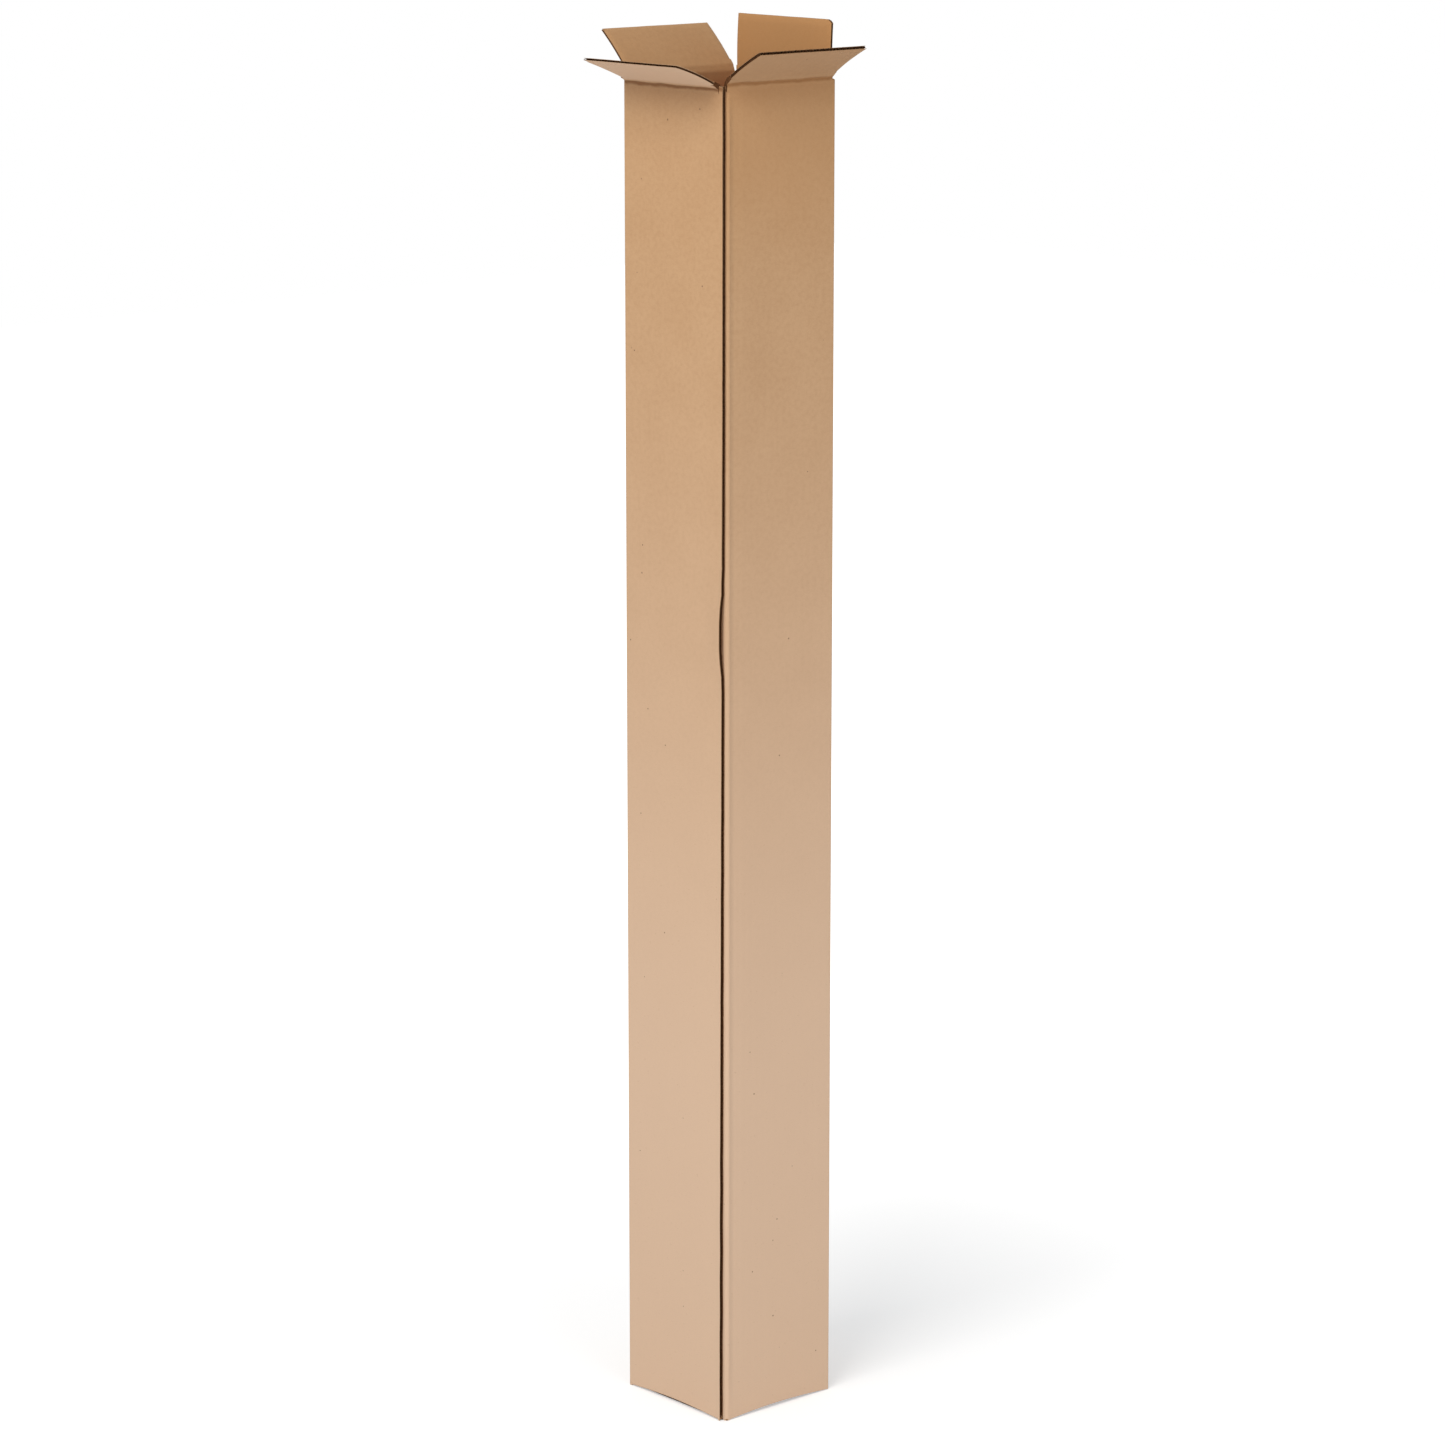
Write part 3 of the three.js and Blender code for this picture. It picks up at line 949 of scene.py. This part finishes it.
def makeTopFlap(side):
    body = side + "_flap"
    shape = flapShapes[side]
    joint = joints[body + "_fold"]
    elevation = math.radians(180 - joint["range_deg"][1])  # the flap closes level, so this is how it stands
    hinge = Hinge(side, math.pi / 2 - elevation, joint["pos_m"][2])
    length, ear = shape["length"] * mm, shape["dogEar"] * mm
    place = flapPlacer(hinge, shape, length)
    start, steps = tube["creaseReach"], flapBend["rows"]
    flap = makeBoard(side + "FlapBoard", body, hinge, place, start, length, ear, steps)
    makeCrease(side + "FlapCrease", hinge, shape["wave"])
    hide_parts("top_flap_" + side)


for side in ("front", "back", "left", "right"):
    makeTopFlap(side)
print("top flaps made")


# Bottom

bottom = {
    "seam": 0.6 * mm,
    "innerLevel": 4.3 * mm,
    "columns": 40,
    "rows": (16, 10),  # of a liner and of the medium, in an outer flap
    "foldSteps": 6,
    "stops": (0.3, 0.6, 1),  # shares of the reach of an inner flap
    "filletStep": 0.2 * mm,
    "innerSettle": 0.02,  # the arch of the edge fades out over this much of a flap
    "outerSettle": 0.03,
    "start": 0.3 * mm,
    "thinnest": 0.75,
    "thinReach": 0.006,
    "crush": 0.4,
    "sideSink": 0.8 * mm,
}


def makeInnerBottom(side):
    hinge = Hinge(side, 0, bottom["innerLevel"])
    t, r = board["thickness"], board["bottomRadius"]
    reach = flapSides[side]["reach"] - bottom["seam"] / 2
    outer = []
    for step in range(bottom["foldSteps"] + 1):
        angle = math.pi + math.pi / 2 * step / bottom["foldSteps"]
        outer.append((r + r * math.cos(angle), r + r * math.sin(angle)))
    outer += [(reach * stop, 0) for stop in bottom["stops"]]
    inner = [(t, r + t / 2), (t, t), (t + bottom["filletStep"], t)]
    inner += [(reach * stop, t) for stop in bottom["stops"]]
    faces = []
    for profile in (outer, inner):
        rows = []
        for v, w in profile:
            row = []
            for c in range(bottom["columns"] + 1):
                x = hinge.width * (c / bottom["columns"] - 0.5)
                settling = 1 - smooth(v, 0, bottom["innerSettle"])
                rise = (arch(side, hinge.panelShare(x)) - bottom["innerLevel"]) * settling
                base = Vector((hinge.axis.x, hinge.axis.y, bottom["innerLevel"] + w + rise))
                point = base + hinge.inward * (v + hingeOffset) + hinge.across * x
                row.append((point, hinge.sheetPlace(x, -v)))
            rows.append(row)
        faces.append(rows)
    lower, upper = faces
    sheet = Sheet()
    sheet.grid(lower, outside)
    sheet.grid(upper, inside, flip=True)
    spare = len(lower) - len(upper)
    for edge in (0, -1):
        sheet.grid([lower[edge], upper[edge]], cut)
        matched = [upper[max(0, i - spare)][edge] for i in range(len(lower))]
        sheet.grid([[row[edge] for row in lower], matched], cut)
    sheet.make(side + "InnerBottomFlap", "carton")


def outerBottomPlacer(side, hinge):
    def place(x, v, w):  # the fold stands off the floor and the flap settles onto it
        lift = arch(side, hinge.panelShare(x)) * (1 - smooth(w, 0, bottom["outerSettle"]))
        thin = 1 - bottom["thinnest"] * (1 - smooth(w, 0, bottom["thinReach"]))
        gap = hinge.sideGap(x)
        sink = bottom["sideSink"] * (1 - smooth(gap, 0, flapBend["crushReach"]))
        v = pressed(v, bottom["crush"], gap) - sink
        return hinge.place(x, hingeOffset + (v - hingeOffset) * thin + lift, w)
    return place


def makeOuterBottom(side, body):
    joint = joints[body + "_fold"]
    hinge = Hinge(side, -math.pi / 2, joint["pos_m"][2], flipped=True)
    length = flapSides[side]["reach"] + hingeOffset - bottom["seam"] / 2
    place = outerBottomPlacer(side, hinge)
    start, steps = bottom["start"], bottom["rows"]
    return makeBoard(side + "BottomFlapBoard", body, hinge, place, start, length, 0, steps)


for side in ("front", "back"):
    makeInnerBottom(side)
for side in ("left", "right"):
    piece = makeOuterBottom(side, "bottom_" + side)
    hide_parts("bottom_flap_" + side)
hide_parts("carton_body")
print("bottom made")


# Stage, light and camera

stage = {  # whiteNear and whiteFar are what the camera sees on top of the lit floor
    "floorSize": 14,
    "floorColour": (0.86, 0.86, 0.86, 1),
    "whiteNear": (0.30, 0.32, 0.34),
    "whiteFar": (0.75, 0.75, 0.75),
    "whiteRange": (0.2, 1.5),
    "worldStrength": 0.52,
    "worldColour": (1, 0.985, 0.965, 1),
    "backdrop": (1, 1, 1, 1),
}
lights = {
    "key": {
        "place": (0.9, -2.9, 3.6),
        "target": (0, 0, 0.7),
        "power": 98,
        "size": 2.4,
        "colour": (1, 0.97, 0.93),
    },
    "low": {
        "place": (2.9, -0.7, 0.5),
        "target": (0, 0, 0.5),
        "power": 20,
        "size": 1.3,
        "colour": (1, 0.98, 0.97),
    },
}
camera = {
    "place": (3.137, -2.752, 1.559),
    "azimuth": 48.618,
    "pitch": 12.302,
    "focalPixels": 4666.9,  # for an image of imagePixels across
    "imagePixels": 1445,
    "sensor": 36,
    "clipStart": 0.05,
    "clipEnd": 100,
}


def makeFloor():
    mesh = bpy.data.meshes.new("floor")
    half = stage["floorSize"] / 2
    corners = [(-half, -half, 0), (half, -half, 0), (half, half, 0), (-half, half, 0)]
    mesh.from_pydata(corners, [], [(0, 1, 2, 3)])
    shader = Shader(bpy.data.materials.new("paleFloor"))
    seen = shader.add("ShaderNodeLightPath", output="Is Camera Ray")
    gloss = shader.add("ShaderNodeLightPath", output="Is Glossy Ray")
    through = shader.add("ShaderNodeLightPath", output="Is Transmission Ray")
    plain = shader.add("ShaderNodeBsdfDiffuse", {}, {"Color": stage["floorColour"]})
    away = shader.vector("LENGTH", [shader.add("ShaderNodeTexCoord", {}, output="Object")], output=1)
    white = shader.blend("MIX", away.ramp(*stage["whiteRange"]), stage["whiteNear"], stage["whiteFar"])
    glow = shader.add("ShaderNodeEmission", {}, {"Color": white, "Strength": 1})
    lit = shader.add("ShaderNodeAddShader", {}, [plain, glow])
    share = (seen + gloss + through).math("MINIMUM", 1)
    surface = shader.add("ShaderNodeMixShader", {}, [share, plain, lit])
    mesh.materials.append(shader.finish("ShaderNodeOutputMaterial", surface))
    floor = bpy.data.objects.new("floor", mesh)
    bpy.context.collection.objects.link(floor)


def makeWorld():
    shader = Shader(bpy.data.worlds.new("studio"))
    seen = shader.add("ShaderNodeLightPath", output="Is Camera Ray")
    gloss = shader.add("ShaderNodeLightPath", output="Is Glossy Ray")
    soft = shader.add("ShaderNodeBackground", {}, {
        "Color": stage["worldColour"], "Strength": stage["worldStrength"],
    })
    white = shader.add("ShaderNodeBackground", {}, {"Color": stage["backdrop"]})
    surface = shader.add("ShaderNodeMixShader", {}, [seen.math("MAXIMUM", gloss), soft, white])
    bpy.context.scene.world = shader.finish("ShaderNodeOutputWorld", surface)


def makeLight(name, facts):
    light = bpy.data.lights.new(name, "AREA")
    light.energy = facts["power"]
    light.size = facts["size"]
    light.color = facts["colour"]
    lamp = bpy.data.objects.new(name, light)
    lamp.location = facts["place"]
    aim = Vector(facts["target"]) - Vector(facts["place"])
    lamp.rotation_euler = aim.to_track_quat("-Z", "Y").to_euler()
    bpy.context.collection.objects.link(lamp)


def makeCamera():
    data = bpy.data.cameras.new("camera")
    data.sensor_width = camera["sensor"]
    data.lens = camera["focalPixels"] / camera["imagePixels"] * camera["sensor"]
    data.clip_start = camera["clipStart"]
    data.clip_end = camera["clipEnd"]
    view = bpy.data.objects.new("camera", data)
    azimuth, pitch = math.radians(camera["azimuth"]), math.radians(camera["pitch"])
    level = math.cos(pitch)
    back = Vector((math.sin(azimuth) * level, -math.cos(azimuth) * level, math.sin(pitch)))
    view.location = camera["place"]
    view.rotation_euler = (-back).to_track_quat("-Z", "Y").to_euler()
    bpy.context.collection.objects.link(view)
    bpy.context.scene.camera = view


makeFloor()
makeWorld()
for name, facts in lights.items():
    makeLight(name, facts)
makeCamera()
bpy.context.scene.view_settings.view_transform = "Standard"
print("stage made")
